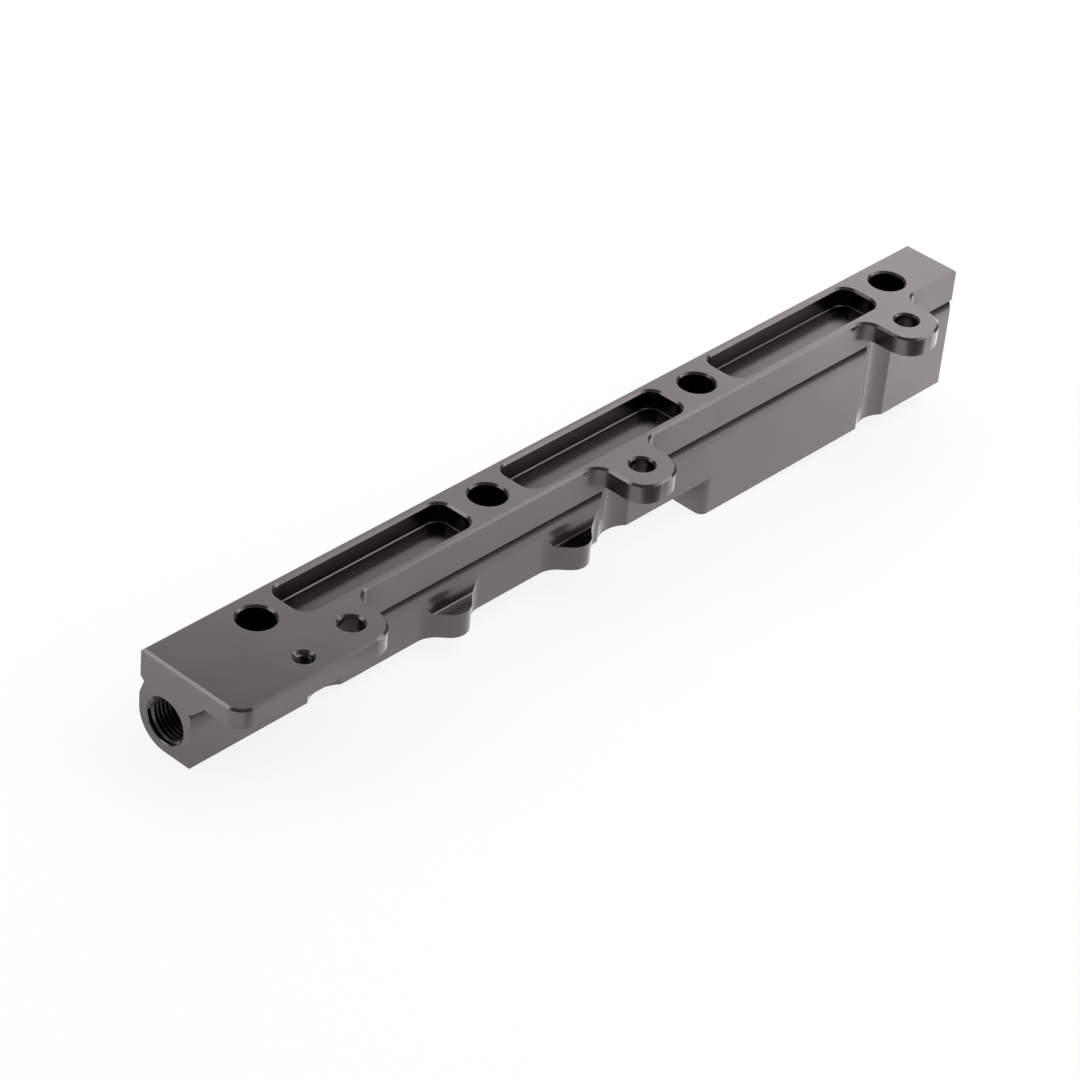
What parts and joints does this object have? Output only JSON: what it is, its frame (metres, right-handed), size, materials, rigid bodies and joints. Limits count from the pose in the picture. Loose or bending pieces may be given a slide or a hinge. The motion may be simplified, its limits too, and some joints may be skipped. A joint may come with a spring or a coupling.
{
  "type": "fuel rail",
  "caption": "Straight fuel rail milled from one billet, with injector cups, lightening pockets, bolt ears on one side, a deeper far half and a threaded port in each end.",
  "frame": {"origin": "centre of the near fuel port's mouth, on the axis of the gallery, in the near end face", "axes": "+X along the gallery to the far end, +Z towards the flat face that the injector cups open in, the ears are on the -Y side"},
  "size_m": [0.325, 0.0386, 0.042],
  "materials": {
    "billet": "satin black anodised"
  },
  "bodies": {
    "root": {"fuel_rail": "billet"}
  },
  "joints": []
}
